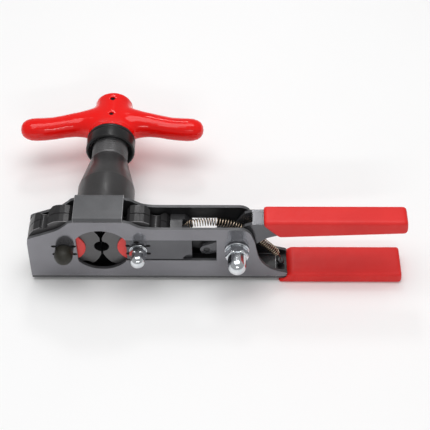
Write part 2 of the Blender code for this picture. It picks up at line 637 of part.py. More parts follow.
def move_origin():
    """Move everything so that the origin lies on the strap's underside, midway between the plates."""
    for thing in list(TOOL.objects) + list(CUTTERS.objects):
        if not thing.parent:
            thing.location += Vector((0, -FRAME_WIDTH / 2, -STRAP_BOTTOM)) * MM


def main():
    """Build every body in turn."""
    make_frame()
    make_fixed_grip()
    make_left_pivot()
    make_handle_pivot()
    make_tower()
    make_wheels()
    carriage_axis = add_axis("carriage_axis", WHEEL_X, 0, 0)
    make_carriage(carriage_axis)
    make_carriage_pins(carriage_axis)
    make_handle(add_axis("handle_axis", PIVOT[0], 0, PIVOT[1]))
    make_link(add_axis("link_axis", CRANK[0], 0, CRANK[1]))
    make_return_spring()
    feed_axis = add_axis("feed_axis", 0, 0, 0)
    make_feed(feed_axis, add_axis("collar_axis", 0, 0, 0), add_axis("cone_axis", 0, 0, 0))
    make_t_handle(feed_axis)
    move_origin()
    CUTTERS.hide_render = True


main()
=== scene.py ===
"""Turret-die flaring tool: the looks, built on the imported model.

Sizes are millimetres in the CAD's building frame. Its zero is the tube's axis at the front plate's outer
face. X runs along the handles, Y towards the T-handle and Z up. place() turns a point into the row frame in
metres, which has its origin on the strap's underside.
"""

from math import atan2, cos, pi, radians, sin, sqrt

import bmesh
import bpy
import numpy as np
from mathutils import Matrix, Vector


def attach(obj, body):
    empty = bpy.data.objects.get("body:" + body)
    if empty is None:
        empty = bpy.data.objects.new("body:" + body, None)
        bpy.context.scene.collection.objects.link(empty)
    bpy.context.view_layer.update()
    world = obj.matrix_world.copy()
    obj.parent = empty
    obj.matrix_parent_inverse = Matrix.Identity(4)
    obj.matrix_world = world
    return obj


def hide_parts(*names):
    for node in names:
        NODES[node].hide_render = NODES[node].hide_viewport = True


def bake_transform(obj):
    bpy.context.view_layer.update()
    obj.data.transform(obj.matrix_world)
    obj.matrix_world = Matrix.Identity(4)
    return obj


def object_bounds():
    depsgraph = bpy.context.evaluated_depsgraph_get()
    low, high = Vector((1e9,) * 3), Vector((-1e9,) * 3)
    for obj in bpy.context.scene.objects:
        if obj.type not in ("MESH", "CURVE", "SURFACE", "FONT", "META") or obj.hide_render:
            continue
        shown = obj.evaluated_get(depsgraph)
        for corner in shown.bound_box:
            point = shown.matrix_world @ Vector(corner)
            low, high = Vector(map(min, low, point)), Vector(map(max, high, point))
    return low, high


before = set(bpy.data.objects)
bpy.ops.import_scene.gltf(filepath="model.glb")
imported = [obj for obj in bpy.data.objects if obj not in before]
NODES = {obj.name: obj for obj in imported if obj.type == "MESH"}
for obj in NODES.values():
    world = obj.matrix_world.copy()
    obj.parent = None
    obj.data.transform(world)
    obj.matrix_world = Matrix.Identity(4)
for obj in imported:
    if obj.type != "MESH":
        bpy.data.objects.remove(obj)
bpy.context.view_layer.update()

MM = 0.001
SHIFT = Vector((0.0, -13.0, 35.4))

# Building-frame measures that several pieces share.
FRAME_WIDTH = 26.0
SHEET = 2.6
MIDDLE_Y = FRAME_WIDTH / 2
WHEEL_X = 29.2
PIVOT_X, PIVOT_Z = 107.0, 1.5
SLOT_HALF, SLOT_END = 12.4, 91.0


def place(x, y, z):
    """A point given in the building frame, in the row frame."""
    return (Vector((x, y, z)) + SHIFT) * MM


# ---------------------------------------------------------------- materials


def node(tree, kind, **sockets):
    """Add a shader node and set its inputs: a number, a colour or another node's output."""
    made = tree.nodes.new(kind)
    for key, value in sockets.items():
        key = key.replace("_", " ")
        if hasattr(value, "is_output"):
            tree.links.new(value, made.inputs[key])
        else:
            made.inputs[key].default_value = value
    return made


def noise(tree, coords, scale, detail=4.0, stretch=None):
    """A noise texture's factor, if asked squeezed along some axes."""
    if stretch:
        mapping = tree.nodes.new("ShaderNodeMapping")
        mapping.inputs["Scale"].default_value = stretch
        tree.links.new(coords, mapping.inputs["Vector"])
        coords = mapping.outputs["Vector"]
    return node(tree, "ShaderNodeTexNoise", Vector=coords, Scale=scale, Detail=detail).outputs["Fac"]


def ramp(tree, factor, stops):
    """A colour ramp through (position, colour) stops."""
    made = tree.nodes.new("ShaderNodeValToRGB")
    tree.links.new(factor, made.inputs["Fac"])
    elements = made.color_ramp.elements
    elements[0].position, elements[0].color = stops[0][0], (*stops[0][1], 1)
    elements[1].position, elements[1].color = stops[-1][0], (*stops[-1][1], 1)
    for position, colour in stops[1:-1]:
        extra = elements.new(position)
        extra.color = (*colour, 1)
    return made.outputs["Color"]


def spread(tree, factor, low, high):
    """A factor mapped from its middle range to low..high."""
    made = tree.nodes.new("ShaderNodeMapRange")
    tree.links.new(factor, made.inputs["Value"])
    made.inputs["From Min"].default_value = 0.3
    made.inputs["From Max"].default_value = 0.7
    made.inputs["To Min"].default_value = low
    made.inputs["To Max"].default_value = high
    return made.outputs["Result"]


def bump(tree, heights, shader):
    """Chain (height factor, strength, distance) bumps into the shader's normal."""
    normal = None
    for height, strength, distance in heights:
        made = node(tree, "ShaderNodeBump", Height=height, Strength=strength, Distance=distance)
        if normal:
            tree.links.new(normal, made.inputs["Normal"])
        normal = made.outputs["Normal"]
    tree.links.new(normal, shader.inputs["Normal"])


def start(name, metallic):
    """A material with a Principled shader and object coordinates."""
    made = bpy.data.materials.new(name)
    made.use_nodes = True
    tree = made.node_tree
    shader = tree.nodes["Principled BSDF"]
    shader.inputs["Metallic"].default_value = metallic
    coords = tree.nodes.new("ShaderNodeTexCoord").outputs["Object"]
    return made, tree, shader, coords


def lighten_chamfers(tree, colour, chamfer_wear_and_highlight):
    """Blend towards a lighter colour where the true normal is about 45 degrees from the Y axis: edge wear
    together with a painted highlight on chamfers.
    """
    facing = tree.nodes.new("ShaderNodeSeparateXYZ")
    tree.links.new(tree.nodes.new("ShaderNodeNewGeometry").outputs["True Normal"], facing.inputs["Vector"])
    lean = tree.nodes.new("ShaderNodeMath")
    lean.operation = "ABSOLUTE"
    tree.links.new(facing.outputs["Y"], lean.inputs[0])
    stops = [(0.45, (0, 0, 0)), (0.62, (1, 1, 1)), (0.8, (1, 1, 1)), (0.93, (0.3, 0.3, 0.3))]
    band = ramp(tree, lean.outputs[0], stops)
    mix = tree.nodes.new("ShaderNodeMix")
    mix.data_type = "RGBA"
    tree.links.new(band, mix.inputs[0])
    tree.links.new(colour, mix.inputs[6])
    mix.inputs[7].default_value = (*chamfer_wear_and_highlight, 1)
    return mix.outputs[2]


def painted(name, dark, light, rough, metallic=0.0, peel=0.12, grain=0.25, specular=0.5, chamfer_wear_and_highlight=None):
    """Paint or an oxide finish: slow colour drift, fine speckle, uneven gloss and a slight orange peel.

    peel is the strength of the orange peel and grain the share of speckle in the colour.
    chamfer_wear_and_highlight is a lighter colour for faces that lean halfway between the Y axis and the rim,
    such
    as chamfers: edge wear together with a painted highlight.
    """
    made, tree, shader, coords = start(name, metallic)
    drift = noise(tree, coords, 38.0, 5.0)
    speck = noise(tree, coords, 900.0, 3.0)
    mixed = node(tree, "ShaderNodeMix")
    mixed.data_type = "FLOAT"
    mixed.inputs[0].default_value = grain
    tree.links.new(drift, mixed.inputs[2])
    tree.links.new(speck, mixed.inputs[3])
    colour = ramp(tree, mixed.outputs[0], [(0.3, dark), (0.72, light)])
    if chamfer_wear_and_highlight:
        colour = lighten_chamfers(tree, colour, chamfer_wear_and_highlight)
    tree.links.new(colour, shader.inputs["Base Color"])
    uneven = spread(tree, noise(tree, coords, 120.0, 4.0), rough * 0.85, rough * 1.2)
    tree.links.new(uneven, shader.inputs["Roughness"])
    shader.inputs["Specular IOR Level"].default_value = specular
    bump(tree, [(noise(tree, coords, 420.0, 2.0), peel, 0.0002), (speck, peel * 0.5, 0.0001)], shader)
    return made


def bare(name, dark, light, rough):
    """Bare or plated metal: fine turning or grinding lines, with darker patches."""
    made, tree, shader, coords = start(name, 1.0)
    patches = noise(tree, coords, 90.0, 5.0)
    brushed = noise(tree, coords, 160.0, 6.0, (1.0, 30.0, 1.0))
    tree.links.new(ramp(tree, patches, [(0.32, dark), (0.66, light)]), shader.inputs["Base Color"])
    tree.links.new(spread(tree, brushed, rough * 0.75, rough * 1.35), shader.inputs["Roughness"])
    bump(tree, [(brushed, 0.15, 0.00012)], shader)
    return made


def vinyl(name, dark, light):
    """Dipped vinyl: soft sheen, faint mottling and a fine pebble."""
    made, tree, shader, coords = start(name, 0.0)
    drift = noise(tree, coords, 26.0, 5.0)
    tree.links.new(ramp(tree, drift, [(0.3, dark), (0.7, light)]), shader.inputs["Base Color"])
    tree.links.new(spread(tree, noise(tree, coords, 300.0, 4.0), 0.40, 0.54), shader.inputs["Roughness"])
    shader.inputs["Specular IOR Level"].default_value = 0.42
    fine = noise(tree, coords, 1400.0, 2.0)
    bump(tree, [(noise(tree, coords, 150.0, 3.0), 0.12, 0.0003), (fine, 0.18, 0.00008)], shader)
    return made


PAINT = painted("plate_grey", (0.215, 0.213, 0.230), (0.262, 0.260, 0.280), 0.14, 0.8, 0.03, 0.15)
BRIDGE = painted("bridge_grey", (0.070, 0.071, 0.076), (0.102, 0.103, 0.108), 0.42, 0.3, 0.2, 0.3)
INNER = painted("carriage_grey", (0.108, 0.109, 0.118), (0.142, 0.143, 0.152), 0.2, 0.7, 0.04, 0.15)
# Near-black for faces inside the frame between the plates and for the seam at the bridge's lip: painted
# shade, over the inner paint's own dark tone.
SHADED = painted("inside_black_and_painted_shade", (0.008, 0.008, 0.009), (0.016, 0.016, 0.017), 0.4, 0.0, 0.1, 0.3)
# Lighter colour for bevelled edges: edge wear together with a painted highlight line.
EDGE_WEAR_AND_HIGHLIGHT = painted("plate_edge", (0.26, 0.26, 0.27), (0.42, 0.42, 0.43), 0.3, 0.7, 0.1)
BLACK = painted("housing_black", (0.008, 0.008, 0.0085), (0.018, 0.018, 0.0185), 0.34, 0.1, 0.08,
                specular=0.35)
HOUSING = painted("tower_black", (0.034, 0.033, 0.0335), (0.050, 0.048, 0.049), 0.34, 0.1, 0.08,
                  specular=0.35)
THREAD = painted("thread_grey", (0.085, 0.083, 0.085), (0.150, 0.147, 0.150), 0.3, 0.4, 0.08)
# The die oxide lightens on chamfers and its bevel takes a lighter edge colour: edge wear together with a
# painted highlight.
OXIDE = painted("die_oxide", (0.016, 0.0155, 0.0165), (0.032, 0.031, 0.0325), 0.34, 0.4, 0.16, 0.4,
                chamfer_wear_and_highlight=(0.34, 0.335, 0.34))
DIE_EDGE_WEAR_AND_HIGHLIGHT = painted("die_edge", (0.10, 0.10, 0.102), (0.19, 0.188, 0.19), 0.3, 0.6, 0.1)
LINK = painted("link_oxide", (0.030, 0.030, 0.032), (0.055, 0.055, 0.058), 0.34, 0.4, 0.12, 0.4)
KNOB = painted("knob_olive", (0.010, 0.009, 0.005), (0.020, 0.018, 0.010), 0.5, 0.0, 0.3, 0.5)
RED = painted("red_paint", (0.80, 0.0035, 0.002), (0.87, 0.006, 0.004), 0.11, 0.0, 0.04, 0.1, 0.38)
DISC = painted("red_disc", (0.74, 0.042, 0.038), (0.84, 0.062, 0.055), 0.45, 0.0, 0.2, 0.5)
# Near-black for the punched index marks, and on the hub pins' tops as painted shade in the T-handle's holes.
MARK_AND_HOLE_SHADE = painted("punched_mark_and_hole_shade", (0.004, 0.004, 0.004), (0.010, 0.010, 0.010), 0.6, 0.0, 0.3, specular=0.1)
GRIP = vinyl("red_vinyl", (0.66, 0.008, 0.006), (0.75, 0.015, 0.012))
ZINC = bare("zinc_plate", (0.60, 0.63, 0.66), (0.86, 0.88, 0.90), 0.15)
STEEL = bare("tool_steel", (0.42, 0.42, 0.43), (0.62, 0.62, 0.63), 0.26)
WIRE = bare("spring_bronze", (0.34, 0.26, 0.18), (0.68, 0.55, 0.42), 0.28)
# The inner side of the spring's wire: painted shade.
WIRE_PAINTED_SHADE = bare("spring_inside_painted_shade", (0.015, 0.012, 0.010), (0.04, 0.033, 0.027), 0.5)


# ---------------------------------------------------------------- mesh helpers


def finish_piece(name, mesh, finishes, body, replaced=(), sharp=32.0):
    """Link a mesh as a piece: shading, materials, body and the CAD nodes it stands for."""
    for finish in finishes:
        mesh.materials.append(finish)
    mesh.shade_smooth()
    if sharp:
        mesh.set_sharp_from_angle(angle=radians(sharp))
    piece = bpy.data.objects.new(name, mesh)
    bpy.context.scene.collection.objects.link(piece)
    if body:
        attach(piece, body)
    if replaced:
        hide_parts(*replaced)
    return piece


def soften(profile, radius, steps=3):
    """Round a profile's inner corners."""
    points = [profile[0]]
    for before, here, after in zip(profile, profile[1:], profile[2:]):
        a, b, c = Vector(before), Vector(here), Vector(after)
        reach = min(radius, (b - a).length * 0.45, (c - b).length * 0.45)
        if reach < 0.02 or (b - a).angle(c - b, 0) < radians(12):
            points.append(here)
            continue
        p, q = b + (a - b).normalized() * reach, b + (c - b).normalized() * reach
        for i in range(steps + 1):
            t = i / steps
            points.append(tuple(p * (1 - t) ** 2 + b * (2 * t * (1 - t)) + q * t**2))
    return points + [profile[-1]]


def skin(rings, closed=False):
    """A mesh through rings of points; a ring of one point is a tip."""
    shape = bmesh.new()
    rows = [[shape.verts.new(point) for point in ring] for ring in rings]
    pairs = list(zip(rows, rows[1:]))
    if closed:
        pairs.append((rows[-1], rows[0]))
    for upper, lower in pairs:
        count = max(len(upper), len(lower))
        for i in range(count):
            j = (i + 1) % count
            if len(upper) == 1:
                shape.faces.new((upper[0], lower[j], lower[i]))
            elif len(lower) == 1:
                shape.faces.new((upper[i], upper[j], lower[0]))
            else:
                shape.faces.new((upper[i], upper[j], lower[j], lower[i]))
    bmesh.ops.recalc_face_normals(shape, faces=shape.faces)
    mesh = bpy.data.meshes.new("skin")
    shape.to_mesh(mesh)
    shape.free()
    return mesh


def lathe(name, profile, at, finish, body, replaced=(), steps=96, across=None, axis="Y", sharp=32.0):
    """A turned piece from (radius, place along the axis) points, at a point of the building frame.

    across is a function (angle, radius, y) -> radius for hexagons, threads and ribs.
    """
    rings = []
    for radius, y in profile:
        if radius < 1e-6:
            ring = [(0.0, y, 0.0)]
        else:
            ring = []
            for i in range(steps):
                angle = 2 * pi * i / steps
                reach = across(angle, radius, y) if across else radius
                ring.append((reach * cos(angle), y, reach * sin(angle)))
        if axis == "Z":
            ring = [(x, -z, y) for x, y, z in ring]
        rings.append([place(x + at[0], y + at[1], z + at[2]) for x, y, z in ring])
    closed = profile[0][0] > 0 and profile[-1][0] > 0
    return finish_piece(name, skin(rings, closed), [finish], body, replaced, sharp)


def hexagon(size):
    """Limits a radius to a hexagon with corners at that radius."""
    flat = size * cos(pi / 6)

    def limit(angle, radius, y):
        local = (angle % (pi / 3)) - pi / 6
        return min(radius, flat / cos(local))

    return limit


def arc(x, z, radius, first, last, steps):
    """Points along an arc between two angles in degrees."""
    angles = [radians(first + (last - first) * i / steps) for i in range(steps + 1)]
    return [(x + radius * cos(a), z + radius * sin(a)) for a in angles]


def circle(x, z, radius, steps=64):
    """A closed ring."""
    return arc(x, z, radius, 0, 360 - 360 / steps, steps - 1)


def sheet_mesh(loops, low, high):
    """A flat outline in X and Z with holes, between two Y positions, in the row frame."""
    curve = bpy.data.curves.new("outline", "CURVE")
    curve.dimensions = "2D"
    curve.fill_mode = "BOTH"
    curve.extrude = (high - low) / 2 * MM
    for loop in loops:
        line = curve.splines.new("POLY")
        line.points.add(len(loop) - 1)
        for point, (x, z) in zip(line.points, loop):
            point.co = (x * MM, z * MM, 0, 1)
        line.use_cyclic_u = True
    carrier = bpy.data.objects.new("carrier", curve)
    bpy.context.scene.collection.objects.link(carrier)
    bpy.context.view_layer.update()
    graph = bpy.context.evaluated_depsgraph_get()
    mesh = bpy.data.meshes.new_from_object(carrier.evaluated_get(graph))
    bpy.data.objects.remove(carrier)
    shape = bmesh.new()
    shape.from_mesh(mesh)
    bmesh.ops.remove_doubles(shape, verts=shape.verts, dist=0.000002)
    bmesh.ops.dissolve_limit(shape, angle_limit=0.002, verts=shape.verts, edges=shape.edges)
    middle = (low + high) / 2
    for vertex in shape.verts:
        x, z, y = vertex.co
        vertex.co = Vector((x, -y, z)) + place(0, middle, 0)
    bmesh.ops.recalc_face_normals(shape, faces=shape.faces)
    shape.to_mesh(mesh)
    shape.free()
    return mesh


def bevel(piece, width, segments=2, edge=None, angle=35):
    """Round a piece's sharp edges; the rounded strip may take a lighter edge finish, wear together with a
    painted highlight.
    """
    step = piece.modifiers.new("edges", "BEVEL")
    step.width = width * MM
    step.segments = segments
    step.limit_method = "ANGLE"
    step.angle_limit = radians(angle)
    step.harden_normals = True
    if edge:
        piece.data.materials.append(edge)
        step.material = len(piece.data.materials) - 1
    return piece


def smooth_line(points, steps):
    """A smooth curve through points, any dimension."""
    ends = [Vector(p) for p in points]
    ends = [ends[0] * 2 - ends[1]] + ends + [ends[-1] * 2 - ends[-2]]
    line = []
    for a, b, c, d in zip(ends, ends[1:], ends[2:], ends[3:]):
        for i in range(steps):
            t = i / steps
            square, cube = 2 * a - 5 * b + 4 * c - d, 3 * b - a - 3 * c + d
            line.append(0.5 * (2 * b + (c - a) * t + square * t**2 + cube * t**3))
    return line + [ends[-2]]


def tube(points, radius, sides=8):
    """A round tube along points in the building frame, closed at its ends."""
    rings = []
    side = Vector((0, 1, 0.01)).normalized()
    for index, point in enumerate(points):
        ahead = points[min(index + 1, len(points) - 1)] - points[max(index - 1, 0)]
        ahead.normalize()
        side = (side - ahead * side.dot(ahead)).normalized()
        up = ahead.cross(side)
        ring = []
        for k in range(sides):
            angle = 2 * pi * k / sides
            ring.append(place(*(point + (side * cos(angle) + up * sin(angle)) * radius)))
        rings.append(ring)
    rings = [[place(*points[0])]] + rings + [[place(*points[-1])]]
    return skin(rings)


def remeshed(source, voxel, rounds, weight=None):
    """A smooth copy of a CAD node's mesh: voxel remesh, then rounds of smoothing, weighted by place."""
    copy = bpy.data.objects.new("copy", source.data.copy())
    bpy.context.scene.collection.objects.link(copy)
    step = copy.modifiers.new("voxels", "REMESH")
    step.mode = "VOXEL"
    step.voxel_size = voxel * MM
    bpy.context.view_layer.update()
    graph = bpy.context.evaluated_depsgraph_get()
    mesh = bpy.data.meshes.new_from_object(copy.evaluated_get(graph))
    bpy.data.objects.remove(copy)
    mesh.materials.clear()
    count = len(mesh.vertices)
    spots = np.zeros(count * 3)
    mesh.vertices.foreach_get("co", spots)
    spots = spots.reshape(-1, 3)
    edges = np.zeros(len(mesh.edges) * 2, int)
    mesh.edges.foreach_get("vertices", edges)
    first, second = edges[0::2], edges[1::2]
    share = np.bincount(edges, minlength=count)[:, None]
    for turn, how_much in rounds:
        pull = np.full((count, 1), how_much) if weight is None else how_much * weight(spots)[:, None]
        for _ in range(turn):
            total = np.zeros_like(spots)
            np.add.at(total, first, spots[second])
            np.add.at(total, second, spots[first])
            spots += pull * (total / share - spots)
    mesh.vertices.foreach_set("co", spots.ravel())
    mesh.update()
    return mesh


# ---------------------------------------------------------------- frame


PLATE_LEFT = -58.4
BRIDGE_LEFT, BRIDGE_RIGHT = -19.6, 18.8
WINDOW_RADIUS = 23.3
SLOT_START = 19.2


def plate_outline():
    """The side plates' outline, with smoothed shoulders."""
    left = [(-57.8, 2.0), (-57.3, 10.0), (-55.6, 13.6), (-45.8, 17.8)]
    left += [(-33.6, 23.2), (-27.2, 28.2), (-23.2, 32.2)]
    right = [(24.2, 31.8), (28.2, 28.9), (33.0, 26.4), (40.0, 25.1), (48.0, 24.9)]
    hollow = [(118.2, 17.9), (120.8, 9.6), (122.0, 2.2), (124.3, -8.2)]
    hollow += [(127.7, -15.6), (133.2, -21.8), (139.8, -25.6)]
    outline = [(PLATE_LEFT, -31.3)] + [tuple(p) for p in smooth_line(left, 5)]
    outline += [(BRIDGE_LEFT, 33.4), (BRIDGE_RIGHT, 33.4)]
    outline += [tuple(p) for p in smooth_line(right, 5)] + arc(108.6, 14.8, 10.1, 90, 18, 14)
    outline += [tuple(p) for p in smooth_line(hollow, 5)[1:]]
    return outline + [(146.2, -27.3), (147.8, -28.6), (145.9, -31.3)]


def window_outline():
    """The round window that opens into the carriage's slot."""
    lip = sqrt(WINDOW_RADIUS**2 - SLOT_START**2)
    turn = 180 - atan2(lip, SLOT_START) * 180 / pi
    upper = arc(0, 0, WINDOW_RADIUS, 180 - turn, turn, 32)
    lower = arc(0, 0, WINDOW_RADIUS, 360 - turn, 180 + turn, 32)
    slot = [(SLOT_START, -SLOT_HALF), (SLOT_END, -SLOT_HALF), (SLOT_END, SLOT_HALF), (SLOT_START, SLOT_HALF)]
    return upper + lower + slot


def make_frame():
    """Plates and the folded strap and bridge."""
    hole = circle(-WHEEL_X, 0, 4.1, 40)
    bolt = circle(PIVOT_X, PIVOT_Z, 5.1, 48)
    front = sheet_mesh([plate_outline(), window_outline(), hole, bolt], 0, SHEET)
    front_sheet = finish_piece("front_sheet", front, [PAINT, BRIDGE], "frame", ["front_plate"])
    for face in front_sheet.data.polygons:
        face.material_index = 1 if abs(face.normal.y) < 0.5 else 0
    bevel(front_sheet, 0.4, 2, EDGE_WEAR_AND_HIGHLIGHT)
    slot = [(21, -SLOT_HALF), (SLOT_END, -SLOT_HALF), (SLOT_END, SLOT_HALF), (21, SLOT_HALF)]
    rear = sheet_mesh([plate_outline(), circle(0, 0, 13), slot, hole, bolt], FRAME_WIDTH - SHEET, FRAME_WIDTH)
    finishes = [PAINT, BRIDGE, SHADED]
    rear_sheet = finish_piece("rear_sheet", rear, finishes, "frame", ["rear_plate"])
    # The rear plate's face towards the inside takes the near-black finish: painted shade between the plates.
    for face in rear_sheet.data.polygons:
        face.material_index = 2 if face.normal.y < -0.9 else 1 if face.normal.y < 0.5 else 0
    bevel(rear_sheet, 0.4, 2, EDGE_WEAR_AND_HIGHLIGHT)
    fold("folded_strap", "back_strap", PLATE_LEFT, 139.0, -35.4, -31.25, -31.6, 1, 236.0)
    fold("folded_bridge", "top_bridge", BRIDGE_LEFT, BRIDGE_RIGHT, 37.5, 33.45, 33.7, -1, BRIDGE_RIGHT)


def fold(name, replaced, left, right, outer, lip, inner, way, flat_end):
    """A channel between two X positions with rounded bends up to the plates, and a flat run-on to flat_end.

    outer, lip and inner are heights: the outer face, the bends' lips at the plates and the inner face. way
    is 1 when the lips point up and -1 when they point down.
    """
    bend = 1.8
    corner = []
    for angle in range(0, 91, 15):
        y, z = bend - bend * cos(radians(angle)), bend - bend * sin(radians(angle))
        corner.append((y, outer + way * z))
    half = [(0.02, lip), (0.02, lip - 0.5 * way)] + corner
    outside = half + [(FRAME_WIDTH - y, z) for y, z in reversed(half)]
    rear_inside = FRAME_WIDTH - SHEET
    inside = [(rear_inside, lip), (rear_inside - 0.3, inner), (SHEET + 0.3, inner), (SHEET, lip)]
    ring = outside + inside
    rings = [[place(x, y, z) for y, z in ring] for x in (left, right)]
    mesh = skin(rings)
    shape = bmesh.new()
    shape.from_mesh(mesh)
    bmesh.ops.holes_fill(shape, edges=[e for e in shape.edges if e.is_boundary])
    if flat_end > right:
        low, high = min(outer, inner), max(outer, inner)
        start_x = right - 0.5
        made = bmesh.ops.create_cube(shape, size=1.0)
        for vertex in made["verts"]:
            x, y, z = vertex.co
            reach = start_x if x < 0 else flat_end
            depth = 0.3 if y < 0 else FRAME_WIDTH - 0.3
            vertex.co = place(reach, depth, low + 0.65 if z < 0 else high - 0.05)
    bmesh.ops.recalc_face_normals(shape, faces=shape.faces)
    shape.to_mesh(mesh)
    shape.free()
    piece = finish_piece(name, mesh, [BRIDGE, SHADED], "frame", [replaced], 25)
    # Faces inside the channel and a strip along its lips take the near-black finish: painted shade between
    # the plates and in the seam against the plate.
    for face in piece.data.polygons:
        seam = abs(face.center.z - place(0, 0, lip)[2]) < 0.0004
        face.material_index = 1 if seam or face.normal.z * way > 0.9 else 0
    bevel(piece, 0.4, 2, EDGE_WEAR_AND_HIGHLIGHT, 50)


def make_grips():
    """The two dipped grips, softened all over."""
    grips = (("fixed_sleeve", "fixed_grip", "frame"), ("moving_sleeve", "moving_grip", "handle"))
    for name, source, body in grips:
        mesh = remeshed(NODES[source], 0.9, [(4, 0.5)])
        finish_piece(name, mesh, [GRIP], body, [source], 0)


def make_left_pivot():
    """The left wheel's pin and knob, with a finely ridged, domed top."""
    rivet = [(0, 28.3), (4.6, 28.3), (5.4, 27.5), (5.4, 26.3), (3.9, 26.3), (3.9, -6.0), (0, -6.0)]
    lathe("left_pin", soften(rivet, 0.6), (-WHEEL_X, 0, 0), STEEL, "frame", ["left_pivot_pin"])
    radius_out, shoulder, rise = 7.3, -5.6, 7.6
    socket = [(0, -6.3), (4.2, -6.3), (4.2, -0.3), (6.9, -0.3), (radius_out, -0.8), (radius_out, shoulder)]
    dome = [(radius_out * cos(radians(a)), shoulder - rise * sin(radians(a))) for a in range(6, 90, 6)]

    def ribbed(angle, radius, y):
        return radius - 0.12 * (0.5 - 0.5 * cos(36 * angle)) if radius > 7.0 and y < -0.6 else radius

    profile = soften(socket, 0.3) + dome + [(0, shoulder - rise)]
    replaced = ["left_pivot_knob"]
    lathe("left_knob", profile, (-WHEEL_X, 0, 0), KNOB, "frame", replaced, 144, ribbed)


def domed_nut(name, x, z, face, across, height, dome, centre, bore, depth, body, replaced):
    """A domed nut with its seat at Y face: a chamfered hexagon, a waist and a cap.

    across is the radius over the hexagon's corners, height the hexagon's height and dome the cap's radius
    about Y centre. The bore is open at the seat and depth deep.
    """
    hex_low = face - height
    flat = across * cos(pi / 6)
    profile = [(0, face - depth), (bore, face - depth), (bore, face), (dome + 0.4, face)]
    profile += [(flat + 0.2, face - 0.1), (across, face - 0.9), (across, hex_low + 0.9)]
    profile += [(flat + 0.1, hex_low + 0.05), (dome + 0.15, hex_low)]
    cap = [(dome * cos(radians(a)), centre - dome * sin(radians(a))) for a in range(0, 90, 6)]
    limit = hexagon(across)

    def across_at(angle, radius, y):
        return limit(angle, radius, y) if radius > flat else radius

    whole = soften(profile, 0.25) + cap + [(0, centre - dome)]
    lathe(name, whole, (x, 0, z), ZINC, body, [replaced], 144, across_at, sharp=28)


def make_handle_pivot():
    """Bolt, washer and large domed nut."""
    bolt = [(0, 31.0), (7.0, 31.0), (7.6, 30.4), (7.6, 26.3), (5.0, 26.3), (5.0, -8.0), (0, -8.0)]
    at = (PIVOT_X, 0, PIVOT_Z)
    lathe("pivot_bolt", soften(bolt, 0.5), at, ZINC, "frame", ["handle_pivot_bolt"])
    ring = [(5.3, -0.3), (9.3, -0.3), (9.6, -0.6), (9.6, -1.6), (9.3, -1.9), (5.3, -1.9)]
    lathe("large_washer", ring, at, ZINC, "frame", ["pivot_washer"])
    domed_nut("large_domed_nut", PIVOT_X, PIVOT_Z, -2.2, 9.3, 6.6, 7.3, -16.4, 5.3, 7.0, "frame",
              "pivot_domed_nut")


# ---------------------------------------------------------------- dies and carriage


def make_dies():
    """The wheels keep their CAD shape with broken edges; the discs are turned."""
    for side, x in (("left", -WHEEL_X), ("right", WHEEL_X)):
        wheel = NODES["die_wheel_" + side]
        wheel.data.materials.clear()
        wheel.data.materials.append(OXIDE)
        # The bevel's strip takes the lighter die edge colour: wear together with a painted highlight.
        bevel(wheel, 0.3, 1, DIE_EDGE_WEAR_AND_HIGHLIGHT, 38)
        ring = [(4.3, 2.9), (16.3, 2.9), (16.6, 3.2), (16.6, 3.9), (4.3, 3.9)]
        replaced = ["size_disc_" + side]
        lathe("disc_" + side, ring, (x, 0, 0), DISC, "wheel_" + side, replaced)


def make_carriage():
    """The carriage keeps its CAD shape; its pins, washer and nut and the handle's bush are turned."""
    carriage = NODES["carriage"]
    carriage.data.materials.clear()
    carriage.data.materials.append(LINK)
    carriage.data.materials.append(INNER)
    # Faces towards the front take the lighter carriage grey; all other faces keep the dark link finish as
    # painted shade between the plates.
    for face in carriage.data.polygons:
        face.material_index = 1 if face.normal.y < -0.9 else 0
    bevel(carriage, 0.2, 2, None, 40)
    pin = [(0, 25.8), (3.9, 25.8), (3.9, -6.0), (0, -6.0)]
    at = (WHEEL_X, 0, 0)
    lathe("right_pin", soften(pin, 0.5), at, STEEL, "carriage", ["right_pivot_pin"])
    ring = [(4.2, 0.5), (6.8, 0.5), (7.0, 0.3), (7.0, -0.7), (6.8, -0.9), (4.2, -0.9)]
    lathe("small_washer", ring, at, ZINC, "carriage", ["right_pivot_washer"])
    domed_nut("small_domed_nut", WHEEL_X, 0, -1.2, 6.9, 5.4, 6.2, -10.2, 4.2, 5.4, "carriage",
              "right_domed_nut")
    pin = [(0, 20.8), (2.3, 20.8), (2.3, 5.2), (0, 5.2)]
    lathe("link_pin", soften(pin, 0.4), (67.0, 0, 0.5), LINK, "carriage", ["toggle_pin"])
    at = (83.0, 0, -5.0)
    lathe("handle_crank_pin", soften(pin, 0.4), at, LINK, "handle", ["crank_pin"])
    bush = [(5.3, 20.6), (6.1, 20.6), (6.4, 20.3), (6.4, 5.7), (6.1, 5.4), (5.3, 5.4)]
    lathe("handle_bush", bush, (PIVOT_X, 0, PIVOT_Z), STEEL, "handle", ["pivot_bush"])


